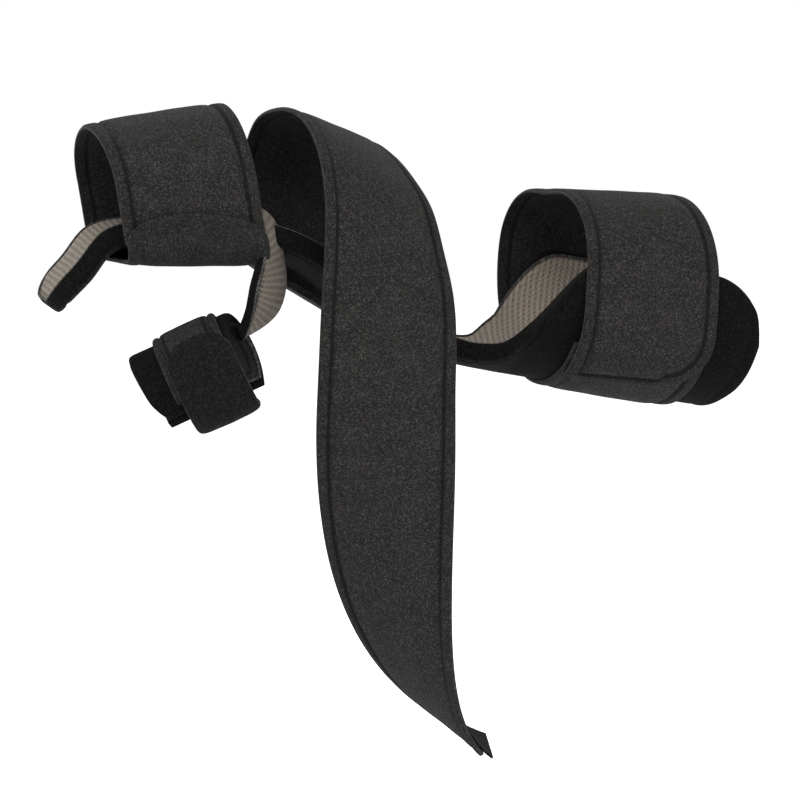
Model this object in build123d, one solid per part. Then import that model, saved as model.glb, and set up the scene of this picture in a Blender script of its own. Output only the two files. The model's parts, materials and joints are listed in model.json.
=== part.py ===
"""Right-hand resting wrist splint: a padded trough on a bent aluminium frame, held on by four straps.

Frame: +X runs towards the elbow, +Y towards the little-finger side, +Z towards the back of the hand.
The origin is on the forearm axis, inside the forearm trough. That axis dips towards the elbow.
All sizes are in millimetres.
"""

from build123d import *

import math
import os

# ---- Driving dimensions -------------------------------------------------------------------------

AXIS_DIP = 10.0  # degrees that the forearm axis falls towards the elbow
FOREARM_RADIUS = 36.0  # the lining's inner radius in the forearm trough
STRAP_WIDTH = 52.0
STRAP_THICK = 2.4
HOOK_THICK = 0.9  # a hook tab on the inner face of a strap's end
GAP = 0.05  # between sewn or glued pieces
SLACK = 0.15  # between a strap and the cover it lies on
CLEAR = 0.35  # between pieces of two bodies
BLOCK_MARGIN = 0.5  # a trimming block's thickness beyond the layers it trims
FAR = 100.0  # further than any strap or layer reaches, for the blocks that trim them
BAND_STEP = 14.0  # degrees between the points of a band's curve

# Layers of the padded sheet, as (nearer, further) distances from the surface that meets the skin.
LINER = (0.0, 0.9)
FOAM = (1.2, 3.4)
PLATE = (3.7, 4.8)
STAY = (4.95, 5.95)
COVER = (6.2, 7.4)
SHEET = COVER[1]
RIM_INSET = {LINER: 0.0, FOAM: 1.2, PLATE: 7.0, COVER: 0.0}

# Layers of the thinner web and thumb trough.
THIN_LINER = (0.0, 1.0)
THIN_FOAM = (1.05, 3.05)
THIN_PLATE = (3.1, 4.1)
THIN_COVER = (4.15, 5.15)
THIN_SHEET = THIN_COVER[1]
THIN_INSET = {THIN_LINER: 0.0, THIN_FOAM: 0.8, THIN_PLATE: 4.0, THIN_COVER: 0.0}

# Forearm trough in its own frame: U along the axis to the elbow, W away from the trough's floor.
TROUGH_START = -50.0
TROUGH_RIM = 7.5
TROUGH_END = 40.0
WRIST_RIM = -21.0  # the rim's height where the trough meets the hand section
WRIST_SWEEP = ((-44.0, -12.0), (-36.0, -24.0))  # the rim's rise: a low point, then two places at full height
RIM_LEVEL_END = 18.0
ELBOW_UPPER = (34.0, -0.5)
ELBOW_FAR = -20.0
ELBOW_LOWER = (37.6, -36.0)
ELBOW_FOOT = (28.0, -46.0)

WRIST_HALF_WIDTH = 29.2  # where the hand section starts
# The hand section's spine: (x, z, climb in degrees, transverse radius, half width).
HAND_SPINE = [
    (-63.0, -25.4, 10.5, 62.0, 28.0),
    (-72.0, -23.6, 12.5, 95.0, 27.0),
    (-84.0, -20.1, 19.0, 110.0, 27.0),
    (-102.0, -10.5, 32.0, 110.0, 28.5),
    (-121.0, 2.5, 36.0, 110.0, 31.0),
    (-138.0, 14.6, 30.0, 120.0, 34.0),
    (-152.0, 21.0, 17.0, 130.0, 35.0),
    (-167.0, 23.8, 4.0, 140.0, 35.0),
    (-186.0, 24.2, 0.0, 140.0, 35.0),
    (-202.0, 24.0, -6.0, 140.0, 35.0),
    (-215.0, 21.2, -32.0, 140.0, 34.5),
    (-225.5, 9.2, -45.0, 140.0, 34.0),
    (-237.5, -3.0, -45.0, 140.0, 33.0),
]
PAN_REACH = 60.5  # from the finger pan's flat middle to its tip, square to Z
PAN_MIDDLE = -180.0
PAN_HALF = 40.0  # past the pan's rims; with TIP_CORNER it sets how round the tip is
TIP_CORNER = 22.0

# Thumb trough: its axis, and its extent along that axis from the root.
THUMB_ROOT = Vector(-162.0, -42.0, -20.0)
THUMB_TIP = Vector(-199.9, -35.5, -37.7)
THUMB_RADIUS = 12.0
THUMB_START = 1.0
THUMB_END = 44.0
THUMB_RIM_NEAR = -35.0
THUMB_RIM_FAR = 245.0
THUMB_ROOT_SLANT = 0.21  # how the root end leans: its near side is cut back
THUMB_ROOT_CUT = 4.6

# The web between palm and thumb: part of a flared ring about a line along Y.
WEB_X = -177.0
WEB_Z = 5.5
WEB_SKIN = [(30.0, -22.0), (28.4, -34.0), (18.5, -45.0)]  # (radius, y) of the skin surface
WEB_LOW = -66.0
WEB_HIGH = 74.0
WEB_CLEAR_Y = 33.6
WEB_CLEAR_Z = 10.2

# Forearm strap.
FOREARM_STRAP_U = -15.0
FOREARM_STRAP_SKEW = (1.0, 0.15, 0.122)  # the normal of its rims, along (U, Y, W)
FOREARM_STRAP_DIP = 7.3  # how far the strap sinks towards the arm between the trough's rims
FOREARM_SINK = (13.0, 167.0, 77.0)  # the angles where it starts to sink from each side, and over how many
FLAP_CLIMB = (2.0, 32.0)  # below the thumb side: where the flap leaves the cover, and over how many degrees
FOREARM_LAP = -36.0  # where the strap's start lies, under the flap
FOREARM_FLAP_END = -56.0
FLAP_CORNER = (24.6, -40.5)  # as (U, W)
FLAP_ROUND = 13.0

# Finger strap, as it stands round pan and fingers.
FINGER_STRAP_X = -187.0
FINGER_SKEW_Y = 0.075
FINGER_SKEW_Z = 0.16
FINGER_TILT = 0.16  # how much the loop's crown rises towards the elbow
FINGER_SIDE = 40.4
FINGER_FLOOR = 13.2
FINGER_CORNER = 10.0
FINGER_SHOULDER = 41.0
FINGER_TOP = 67.4
FINGER_LAP = 18.8  # the strap's start, under the tongue
TONGUE_TOP = 30.6
TONGUE_CORNER = 7.0
TONGUE_ROUND = 14.0
TONGUE_WIDTH = 53.0  # across its slanted rims

# Thumb strap.
THUMB_STRAP_START = 9.0
THUMB_STRAP_END = 34.0
THUMB_LAP = -14.0
THUMB_HINGE = 262.0
THUMB_TAB_FROM = -96.4  # the hinge again, a hair further on
THUMB_TAB_SHIFT = 2.0  # how far the tab lies towards the thumb's root from the strap
THUMB_TAB_TOP = 46.0
THUMB_CLIMB = (96.0, 60.0)  # like FLAP_CLIMB
THUMB_HOOK_FROM = 2.0

# Around a hook tab, how much of the strap's inner face stays bare.
FOREARM_TAB_MARGIN = 9.0
FOREARM_TAB_SPAN = 7.0  # degrees
PALM_TAB_MARGIN = 4.0
THUMB_TAB_MARGIN = 4.0
FINGER_TAB_LENGTH = 30.0
FINGER_TAB_MARGIN = 1.5

# Palm strap's middle line, as (x, y, z) with the direction of its width, (x, y, z).
PALM_OVER = [
    ((-136.5, 36.8, 1.0), (0.857, 0.00, -0.515)),
    ((-134.6, 43.5, 7.2), (0.860, 0.02, -0.500)),
    ((-132.5, 46.4, 20.5), (0.865, 0.08, -0.485)),
    ((-131.5, 44.5, 40.0), (0.860, 0.20, -0.460)),
    ((-129.5, 33.0, 56.5), (0.850, 0.38, -0.360)),
    ((-125.5, 14.0, 63.0), (0.840, 0.48, -0.270)),
    ((-121.0, -6.0, 60.0), (0.830, 0.44, -0.330)),
    ((-117.2, -23.0, 52.0), (0.840, 0.38, -0.370)),
    ((-114.6, -35.0, 42.0), (0.870, 0.28, -0.390)),
]
PALM_UPPER = [
    ((-114.2, -36.4, 40.2), (0.880, 0.26, -0.390)),
    ((-112.9, -44.6, 24.5), (0.900, 0.15, -0.400)),
    ((-112.5, -49.2, 7.0), (0.950, 0.05, -0.300)),
    ((-113.2, -51.0, -15.0), (0.993, 0.00, -0.115)),
    ((-114.0, -50.4, -42.0), (1.000, -0.09, -0.020)),
]
# The tail's hanging end: four control points of its middle line, and the turn of its width.
TAIL_LINE = [(-114.1, -50.3, -43.9), (-115.0, -50.0, -100.0), (-113.0, -43.0, -151.0), (-76.2, -35.0, -174.8)]
TAIL_TURN = (6.0, 96.0)
# The sewn start, back from the strap's first station: (how far back, how far below it).
PALM_ANCHOR_RUN = ((32.8, 1.6), (10.0, 1.6), (1.2, 0.8))
PALM_HOOK_SPAN = (0.84, 1.045)  # along the tail's line, which ends at 1

RIVET_RADIUS = 2.2
RIVET_SPOTS = (-40.0, -14.0)
STAY_HALF_WIDTH = 11.0
STAY_LENGTH = 48.0
STAY_REACH = -146.0
HOLE_LENGTH = 12.0
HOLE_SUNK = 4.0

# ---- Frames and shared shapes -------------------------------------------------------------------

DIP = math.radians(AXIS_DIP)
AXIS = Vector(math.cos(DIP), 0, -math.sin(DIP))
RISE = Vector(math.sin(DIP), 0, math.cos(DIP))
SIDE = Vector(0, 1, 0)

# Sketches on this plane have x along SIDE and y along RISE, and extrude towards the elbow.
ACROSS_FOREARM = Plane(origin=(0, 0, 0), x_dir=SIDE, z_dir=AXIS)
# Sketches on this plane have x along AXIS and y along RISE, and extrude towards the thumb side.
BESIDE_FOREARM = Plane(origin=(0, 0, 0), x_dir=AXIS, z_dir=-SIDE)

THUMB_AXIS = (THUMB_TIP - THUMB_ROOT).normalized()
# Sketches on this plane have x away from the thumb side and y down, and extrude to the thumb's tip.
ACROSS_THUMB = Plane(origin=THUMB_ROOT, x_dir=SIDE - THUMB_AXIS * SIDE.dot(THUMB_AXIS), z_dir=THUMB_AXIS)
THUMB_UP = -1.0 if ACROSS_THUMB.y_dir.Z < 0 else 1.0


def polar(radius, degrees, up=1.0):
    """A point at an angle that is 0 on the thumb side, 90 on top and 180 on the far side."""
    angle = math.radians(degrees)
    return (-radius * math.cos(angle), up * radius * math.sin(angle))


def band(radius_at, thick, start, end, up=1.0):
    """A strip of one thickness whose inner face follows radius_at(degrees) between two angles."""
    steps = max(4, round(abs(end - start) / BAND_STEP))
    turns = [start + (end - start) * i / steps for i in range(steps + 1)]
    inner = [polar(radius_at(t), t, up) for t in turns]
    outer = [polar(radius_at(t) + thick, t, up) for t in turns]
    edges = [
        Spline(*inner),
        Line(inner[-1], outer[-1]),
        Spline(*reversed(outer)),
        Line(outer[0], inner[0]),
    ]
    return make_face(edges)


def ring_sector(inner, outer, start, end, up=1.0):
    """A sector between two circles, for the angles that polar() uses."""
    middle = (start + end) / 2
    edges = [
        ThreePointArc(polar(inner, start, up), polar(inner, middle, up), polar(inner, end, up)),
        Line(polar(inner, end, up), polar(outer, end, up)),
        ThreePointArc(polar(outer, end, up), polar(outer, middle, up), polar(outer, start, up)),
        Line(polar(outer, start, up), polar(inner, start, up)),
    ]
    return make_face(edges)


def eased(amount):
    """A smooth step from 0 to 1."""
    part = min(max(amount, 0.0), 1.0)
    return part * part * (3 - 2 * part)


# ---- Forearm trough -----------------------------------------------------------------------------


def trough_outline(inset):
    """The trough from the side: low at the wrist, half round under the strap, rounded at the elbow."""
    low = -FAR
    rim = TROUGH_RIM - inset
    (dip_u, dip_w), (rise_u, level_u) = WRIST_SWEEP
    start = (TROUGH_START, WRIST_RIM - inset)
    dip = (dip_u, dip_w - inset)
    level_end = (RIM_LEVEL_END - inset, rim)
    far = (TROUGH_END - inset, ELBOW_FAR)
    upper = (ELBOW_UPPER[0] - inset, ELBOW_UPPER[1] - inset)
    lower = (ELBOW_LOWER[0] - inset, ELBOW_LOWER[1] + inset / 2)
    foot = (ELBOW_FOOT[0] - inset, ELBOW_FOOT[1])
    edges = [
        Line((TROUGH_START, low), start),
        Bezier(start, dip, (rise_u + inset, rim), (level_u, rim)),
        Line((level_u, rim), level_end),
        ThreePointArc(level_end, upper, far),
        ThreePointArc(far, lower, foot),
        Line(foot, (foot[0], low)),
        Line((foot[0], low), (TROUGH_START, low)),
    ]
    return make_face(edges)


def forearm_layer(layer):
    """One layer of the trough: a cylinder wall cut to the side outline."""
    inner, outer = (FOREARM_RADIUS + d for d in layer)
    wall = extrude(ACROSS_FOREARM * (Circle(outer) - Circle(inner)), amount=FAR, both=True)
    side = extrude(BESIDE_FOREARM * trough_outline(RIM_INSET[layer]), amount=FAR, both=True)
    return wall & side


# ---- Hand section -------------------------------------------------------------------------------


def hand_stations():
    """The spine's stations as (x, z, climb, radius, half width), starting where the trough ends."""
    start = AXIS * (TROUGH_START - GAP) - RISE * FOREARM_RADIUS
    return [(start.X, start.Z, AXIS_DIP, FOREARM_RADIUS, WRIST_HALF_WIDTH)] + HAND_SPINE


def sheet_section(station, layer, half_width):
    """The curved strip that one layer cuts at a station of the spine."""
    x, z, climb, radius, _ = station
    angle = math.radians(climb)
    up = Vector(math.sin(angle), 0, math.cos(angle))
    centre = Vector(x, 0, z) + up * radius
    spread = math.degrees(math.asin(half_width / radius))

    def at(distance, degrees):
        turn = math.radians(degrees)
        return centre - up * (distance * math.cos(turn)) + SIDE * (distance * math.sin(turn))

    inner, outer = (radius + d for d in layer)
    edges = [
        ThreePointArc(at(inner, -spread), at(inner, 0), at(inner, spread)),
        Line(at(inner, spread), at(outer, spread)),
        ThreePointArc(at(outer, spread), at(outer, 0), at(outer, -spread)),
        Line(at(outer, -spread), at(inner, -spread)),
    ]
    return Wire(edges)


def pan_outline(inset):
    """The hand section seen from above, with the finger pan's rounded tip."""
    reach = PAN_REACH - inset
    half = PAN_HALF - inset
    corner = TIP_CORNER - inset / 2
    tip = Pos(PAN_MIDDLE - reach / 2, 0) * Rectangle(reach, 2 * half)
    rounded = fillet(tip.vertices().sort_by(Axis.X)[:2], corner)
    behind = Pos(PAN_MIDDLE + FAR - GAP, 0) * Rectangle(2 * FAR, 2 * half)
    return rounded + behind


def sheet_loft(layer, half_width_of):
    """A loft along the spine; half_width_of takes a station."""
    return Solid.make_loft([sheet_section(s, layer, half_width_of(s)) for s in hand_stations()])


def hand_block(grow):
    """The whole thickness of the hand section, and a margin round it."""
    margin = max(grow, BLOCK_MARGIN)
    return sheet_loft((LINER[0] - margin, COVER[1] + margin), lambda s: s[4] + grow)


def hand_layer(layer):
    """One layer of the palm and finger pan, cut back from the sheet's rim."""
    inset = RIM_INSET[layer]
    sheet = sheet_loft(layer, lambda s: s[4])
    if inset > 0:
        sheet = sheet & hand_block(-inset)
    return sheet & extrude(pan_outline(inset), amount=FAR, both=True)


def wrist_stay():
    """The stiffening bar under the forearm and hand plates."""
    inner, outer = (FOREARM_RADIUS + d for d in STAY)
    half = math.degrees(math.asin(STAY_HALF_WIDTH / FOREARM_RADIUS))
    plane = ACROSS_FOREARM.offset(TROUGH_START - GAP)
    behind = extrude(plane * ring_sector(inner, outer, 270 - half, 270 + half), amount=STAY_LENGTH)
    spread = sheet_loft((LINER[0], COVER[1]), lambda s: STAY_HALF_WIDTH)
    ahead = sheet_loft(STAY, lambda s: s[4]) & spread
    return behind + split(ahead, bisect_by=Plane(origin=(STAY_REACH, 0, 0), z_dir=(1, 0, 0)))


def rivet_axes():
    """Each rivet's foot and direction, through stay and plate."""
    axes = [(AXIS * u - RISE * (FOREARM_RADIUS + STAY[1]), RISE) for u in RIVET_SPOTS]
    for station in hand_stations()[5:7]:
        angle = math.radians(station[2])
        up = Vector(math.sin(angle), 0, math.cos(angle))
        axes.append((Vector(station[0], 0, station[1]) - up * STAY[1], up))
    return axes


def rivets(radius, height, sunk=0.0):
    """A cylinder at each rivet's place."""
    made = []
    for foot, up in rivet_axes():
        plane = Plane(origin=foot - up * sunk, z_dir=up)
        made.append(extrude(plane * Circle(radius), amount=height))
    return made


def drilled(plate):
    """A plate or stay with a hole for each rivet."""
    for hole in rivets(RIVET_RADIUS + GAP, HOLE_LENGTH, HOLE_SUNK):
        plate = plate - hole
    return plate


# ---- Thumb trough and web -----------------------------------------------------------------------


def thumb_wall(inner, outer, inset):
    """Part of the thumb trough's wall, open towards its underside."""
    plane = ACROSS_THUMB.offset(THUMB_START + inset)
    turn = math.degrees(inset / THUMB_RADIUS)
    sector = ring_sector(inner, outer, THUMB_RIM_NEAR + turn, THUMB_RIM_FAR - turn, THUMB_UP)
    return extrude(plane * sector, amount=THUMB_END - THUMB_START - 2 * inset)


def thumb_layer(layer):
    inner, outer = (THUMB_RADIUS + d for d in layer)
    inset = THIN_INSET[layer]
    wall = thumb_wall(inner, outer, inset)
    slant = Plane(
        origin=THUMB_ROOT + THUMB_AXIS * (THUMB_ROOT_CUT + inset),
        z_dir=THUMB_AXIS + ACROSS_THUMB.x_dir * THUMB_ROOT_SLANT,
    )
    return split(wall, bisect_by=slant)


def thumb_block(grow):
    """A plain drum round the thumb trough, which the web must stay out of."""
    plane = ACROSS_THUMB.offset(THUMB_START - grow)
    return extrude(plane * Circle(THUMB_RADIUS + THIN_SHEET + grow), amount=FAR)


def web_profile(layer):
    """The web's cross-section through one layer, as (distance from the ring's line, y)."""
    skin = Spline(*WEB_SKIN)
    ends = []
    for depth in layer:
        points = []
        for step in (0, 0.25, 0.5, 0.75, 1):
            place = skin @ step
            tangent = skin % step
            points.append((place.X + tangent.Y * depth, place.Y - tangent.X * depth))
        ends.append(points)
    close, away = ends
    edges = [
        Spline(*close),
        Line(close[-1], away[-1]),
        Spline(*reversed(away)),
        Line(away[0], close[0]),
    ]
    return make_face(edges)


def strap_room():
    """The space beside the pan that the finger strap's near side needs."""
    near = Pos(FINGER_STRAP_X, -FAR - WEB_CLEAR_Y, FAR + WEB_CLEAR_Z) * Box(2 * FAR, 2 * FAR, 2 * FAR)
    return near & finger_slab(STRAP_WIDTH + 4 * CLEAR)


def web_layer(layer):
    """One layer of the web, between the underside of the hand section and the thumb trough."""
    inset = THIN_INSET[layer]
    turn = math.degrees(inset / WEB_SKIN[0][0])
    low = WEB_LOW + turn
    high = WEB_HIGH - turn
    # The profile's x runs away from the ring's line along +X, and its y along +Y.
    plane = Plane(origin=(WEB_X, 0, WEB_Z), x_dir=(1, 0, 0), z_dir=(0, 0, 1))
    line = Axis((WEB_X, 0, WEB_Z), (0, -1, 0))
    whole = revolve(plane * web_profile(layer), axis=line, revolution_arc=high - low)
    length = WEB_SKIN[0][1] - WEB_SKIN[-1][1] - 2 * inset
    middle = (WEB_SKIN[0][1] + WEB_SKIN[-1][1]) / 2
    kept = whole.rotate(line, low) & Pos(WEB_X, middle, WEB_Z) * Box(100, length + 2, 100)
    cut = kept - hand_block(0.1 + inset) - thumb_block(0.1 + inset) - strap_room()
    return max(cut.solids(), key=lambda s: s.volume)


# ---- Straps -------------------------------------------------------------------------------------


def slab(origin, normal, width):
    """A wide block between two parallel planes, to cut a strap to its width."""
    return Plane(origin=origin, z_dir=normal) * Box(2 * FAR, 2 * FAR, width)


def forearm_slab():
    u, y, w = FOREARM_STRAP_SKEW
    return slab(AXIS * FOREARM_STRAP_U, AXIS * u + SIDE * y + RISE * w, STRAP_WIDTH)


def over_arm(degrees):
    """The forearm strap's inner radius: on the cover beside the trough, closer in on top."""
    near, away, over = FOREARM_SINK
    rise = min(eased((degrees - near) / over), eased((away - degrees) / over))
    return FOREARM_RADIUS + SHEET + SLACK - FOREARM_STRAP_DIP * rise


def flap_radius(degrees):
    """The near flap's inner radius, which climbs over the strap's own start and the hook tab."""
    low = FOREARM_RADIUS + SHEET + SLACK
    high = low + STRAP_THICK + CLEAR + HOOK_THICK + GAP
    return low + (high - low) * eased(-(degrees + FLAP_CLIMB[0]) / FLAP_CLIMB[1])


def forearm_strap():
    strip = band(over_arm, STRAP_THICK, 0.0, 360 + FOREARM_LAP)
    return extrude(ACROSS_FOREARM * strip, amount=FAR, both=True) & forearm_slab()


def forearm_strap_end():
    """The near flap, square at the wrist end and rounded at the elbow end."""
    strip = band(flap_radius, STRAP_THICK, -0.8, FOREARM_FLAP_END)
    flap = extrude(ACROSS_FOREARM * strip, amount=FAR, both=True) & forearm_slab()
    blank = Pos(FLAP_CORNER[0] - FAR / 2, FLAP_CORNER[1] + FAR / 2) * Rectangle(FAR, FAR)
    corner = blank.vertices().sort_by(Axis.X)[-2:].sort_by(Axis.Y)[0]
    return flap & extrude(BESIDE_FOREARM * fillet(corner, FLAP_ROUND), amount=FAR, both=True)


def forearm_hook_tab():
    inner = FOREARM_RADIUS + SHEET + SLACK + STRAP_THICK + CLEAR
    sector = ring_sector(inner, inner + HOOK_THICK, FOREARM_LAP - 2, FOREARM_LAP - 2 - FOREARM_TAB_SPAN)
    tab = extrude(ACROSS_FOREARM * sector, amount=FAR, both=True)
    u, y, w = FOREARM_STRAP_SKEW
    normal = AXIS * u + SIDE * y + RISE * w
    return tab & slab(AXIS * FOREARM_STRAP_U, normal, STRAP_WIDTH - 2 * FOREARM_TAB_MARGIN)


# Sketches on this plane have x along +Y and y along +Z, and extrude towards +X.
FINGER_PLANE = Plane(origin=(FINGER_STRAP_X, 0, 0), x_dir=(0, 1, 0), z_dir=(1, 0, 0))


def finger_slab(width):
    normal = Vector(1.0, FINGER_SKEW_Y, FINGER_SKEW_Z)
    return slab(Vector(FINGER_STRAP_X, 0, FINGER_LAP), normal, width)


def tongue_side():
    """How far out the tongue's inner face stands, beyond the strap's start and the hook tab."""
    return FINGER_SIDE + STRAP_THICK + CLEAR + HOOK_THICK + GAP


def finger_outline(forward):
    """The finger strap's outline in a plane that stands forward of its middle by some distance."""
    side = FINGER_SIDE
    out = tongue_side()
    floor = FINGER_FLOOR
    bend = FINGER_CORNER
    turn = TONGUE_CORNER
    shoulder = FINGER_SHOULDER
    crown = FINGER_TOP - FINGER_SHOULDER + FINGER_TILT * forward
    thick = STRAP_THICK
    diagonal = math.sqrt(0.5)
    edges = [
        Line((-side, FINGER_LAP), (-side, shoulder)),
        EllipticalCenterArc((0, shoulder), side, crown, 0, arc_size=180),
        Line((side, shoulder), (side, floor + bend)),
        ThreePointArc(
            (side, floor + bend),
            (side - bend + bend * diagonal, floor + bend - bend * diagonal),
            (side - bend, floor),
        ),
        Line((side - bend, floor), (-out + turn, floor)),
        ThreePointArc(
            (-out + turn, floor),
            (-out + turn - turn * diagonal, floor + turn - turn * diagonal),
            (-out, floor + turn),
        ),
        Line((-out, floor + turn), (-out - thick, floor + turn)),
        ThreePointArc(
            (-out - thick, floor + turn),
            (-out + turn - (turn + thick) * diagonal, floor + turn - (turn + thick) * diagonal),
            (-out + turn, floor - thick),
        ),
        Line((-out + turn, floor - thick), (side - bend, floor - thick)),
        ThreePointArc(
            (side - bend, floor - thick),
            (side - bend + (bend + thick) * diagonal, floor + bend - (bend + thick) * diagonal),
            (side + thick, floor + bend),
        ),
        Line((side + thick, floor + bend), (side + thick, shoulder)),
        EllipticalCenterArc((0, shoulder), side + thick, crown + thick, 0, arc_size=180),
        Line((-side - thick, shoulder), (-side - thick, FINGER_LAP)),
        Line((-side - thick, FINGER_LAP), (-side, FINGER_LAP)),
    ]
    return (FINGER_PLANE.offset(forward) * make_face(edges)).face().outer_wire()


def finger_strap():
    """Over the fingers from under the tongue, back under the pan and up to the tongue's hinge."""
    loop = Solid.make_loft([finger_outline(-FAR / 2), finger_outline(FAR / 2)], ruled=True)
    return loop & finger_slab(STRAP_WIDTH)


def finger_strap_end():
    """The tongue: a flap with a rounded end, against the strap's near side."""
    low = FINGER_FLOOR + TONGUE_CORNER + CLEAR
    height = TONGUE_TOP - low
    middle = (-tongue_side() - STRAP_THICK / 2, low + height / 2)
    face = Pos(*middle) * Rectangle(STRAP_THICK, height)
    tongue = extrude(FINGER_PLANE * face, amount=FAR, both=True) & finger_slab(STRAP_WIDTH)
    centre = FINGER_STRAP_X + FINGER_SKEW_Y * tongue_side()
    beside = Plane(origin=(centre, 0, TONGUE_TOP - FAR / 2), x_dir=(1, 0, 0), z_dir=(0, -1, 0))
    blank = Rectangle(TONGUE_WIDTH, FAR)
    rounded = fillet(blank.vertices().sort_by(Axis.Y)[-2:], TONGUE_ROUND)
    return tongue & extrude(beside * rounded, amount=FAR, both=True)


def finger_hook_tab():
    near = -(FINGER_SIDE + STRAP_THICK + CLEAR)
    middle = FINGER_STRAP_X + FINGER_SKEW_Y * FINGER_SIDE
    low = FINGER_FLOOR + TONGUE_CORNER + 2 * CLEAR
    high = TONGUE_TOP - FINGER_TAB_MARGIN
    tab = Box(FINGER_TAB_LENGTH, HOOK_THICK, high - low)
    return Pos(middle, near - HOOK_THICK / 2, (low + high) / 2) * tab


THUMB_WRAP = THUMB_RADIUS + THIN_SHEET + SLACK


def thumb_tab_radius(degrees):
    high = THUMB_WRAP + STRAP_THICK + CLEAR + HOOK_THICK + GAP
    return THUMB_WRAP + (high - THUMB_WRAP) * eased((degrees + THUMB_CLIMB[0]) / THUMB_CLIMB[1])


def thumb_strap():
    plane = ACROSS_THUMB.offset(THUMB_STRAP_START)
    strip = band(lambda t: THUMB_WRAP, STRAP_THICK, THUMB_LAP, THUMB_HINGE, THUMB_UP)
    return extrude(plane * strip, amount=THUMB_STRAP_END - THUMB_STRAP_START)


def thumb_strap_end():
    plane = ACROSS_THUMB.offset(THUMB_STRAP_START - THUMB_TAB_SHIFT)
    strip = band(thumb_tab_radius, STRAP_THICK, THUMB_TAB_FROM, THUMB_TAB_TOP, THUMB_UP)
    return extrude(plane * strip, amount=THUMB_STRAP_END - THUMB_STRAP_START)


def thumb_hook_tab():
    inner = THUMB_WRAP + STRAP_THICK + CLEAR
    plane = ACROSS_THUMB.offset(THUMB_STRAP_START - THUMB_TAB_SHIFT + THUMB_TAB_MARGIN)
    end = THUMB_TAB_TOP - THUMB_TAB_MARGIN
    sector = ring_sector(inner, inner + HOOK_THICK, THUMB_HOOK_FROM, end, THUMB_UP)
    return extrude(plane * sector, amount=THUMB_STRAP_END - THUMB_STRAP_START - 2 * THUMB_TAB_MARGIN)


def ribbon(stations, near, far, width):
    """A strap through stations of its middle line, between two distances from its middle."""
    wires = []
    for i, (place, across) in enumerate(stations):
        before = Vector(*stations[max(i - 1, 0)][0])
        after = Vector(*stations[min(i + 1, len(stations) - 1)][0])
        along = (after - before).normalized()
        side = Vector(*across).normalized() * (width / 2)
        out = along.cross(side).normalized()
        middle = Vector(*place)
        corners = [
            middle - side + out * near,
            middle + side + out * near,
            middle + side + out * far,
            middle - side + out * far,
        ]
        wires.append(Wire(Polyline(*corners, close=True).edges()))
    return Solid.make_loft(wires)


def palm_strap_anchor():
    """The strap's sewn start, under the palm and finger pan's bend at the far side."""
    place, across = PALM_OVER[0]
    up = Vector(-across[2], 0, across[0])
    middles = [Vector(*place) - SIDE * back - up * drop for back, drop in PALM_ANCHOR_RUN]
    half = STRAP_THICK / 2
    return ribbon([(tuple(middle), across) for middle in middles], -half, half, STRAP_WIDTH)


def palm_ribbon(stations):
    return ribbon(stations, -STRAP_THICK / 2, STRAP_THICK / 2, STRAP_WIDTH)


def tail_place(t):
    """A point of the tail's middle line and the direction of its width, for t from 0 to 1."""
    weights = ((1 - t) ** 3, 3 * t * (1 - t) ** 2, 3 * t * t * (1 - t), t ** 3)
    place = tuple(sum(w * p[i] for w, p in zip(weights, TAIL_LINE)) for i in range(3))
    turn = math.radians(TAIL_TURN[0] + (TAIL_TURN[1] - TAIL_TURN[0]) * t)
    return place, (math.cos(turn), -math.sin(turn), 0)


def tail_run(start, end, steps):
    return [tail_place(start + (end - start) * i / steps) for i in range(steps + 1)]


def palm_hook_tab():
    """A hook strip on the inner face of the tail's end, which it runs past."""
    near = -STRAP_THICK / 2 - 2 * GAP
    return ribbon(tail_run(*PALM_HOOK_SPAN, 3), near, near - HOOK_THICK, STRAP_WIDTH - 2 * PALM_TAB_MARGIN)


# ---- Files --------------------------------------------------------------------------------------


def save(name, shape):
    parts = shape if isinstance(shape, list) else [shape]
    found = [solid for part in parts for solid in part.solids()]
    export_step(Compound(found), f"parts/{name}.step")


os.makedirs("parts", exist_ok=True)
SHEET_LAYERS = {"liner": LINER, "foam": FOAM, "plate": PLATE, "cover": COVER}
THIN_LAYERS = {"liner": THIN_LINER, "foam": THIN_FOAM, "plate": THIN_PLATE, "cover": THIN_COVER}
for name, layer in SHEET_LAYERS.items():
    forearm = forearm_layer(layer)
    hand = hand_layer(layer)
    if layer == PLATE:
        forearm = drilled(forearm)
        hand = drilled(hand)
    save(f"forearm_{name}", forearm)
    save(f"hand_{name}", hand)
for name, layer in THIN_LAYERS.items():
    save(f"web_{name}", web_layer(layer))
    save(f"thumb_{name}", thumb_layer(layer))
save("wrist_stay", drilled(wrist_stay()))
save("frame_rivets", rivets(RIVET_RADIUS, STAY[1] - PLATE[0]))
for maker in (
    forearm_strap, forearm_strap_end, forearm_hook_tab,
    finger_strap, finger_strap_end, finger_hook_tab,
    thumb_strap, thumb_strap_end, thumb_hook_tab,
    palm_strap_anchor, palm_hook_tab,
):
    save(maker.__name__, maker())
save("palm_strap_over", palm_ribbon(PALM_OVER))
save("palm_strap_upper", palm_ribbon(PALM_UPPER))
save("palm_strap_lower", palm_ribbon(tail_run(0, 1, 8)))
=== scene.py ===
"""Looks of the wrist splint: padded lining and cover, four fabric straps, soft studio light.

Everything is in metres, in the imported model's frame: +X to the elbow, +Z to the back of the hand.
Shape functions work in millimetres and are scaled when a mesh is made.
"""

import json
import math

import bpy
import numpy as np
from mathutils import Matrix, Vector


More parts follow.
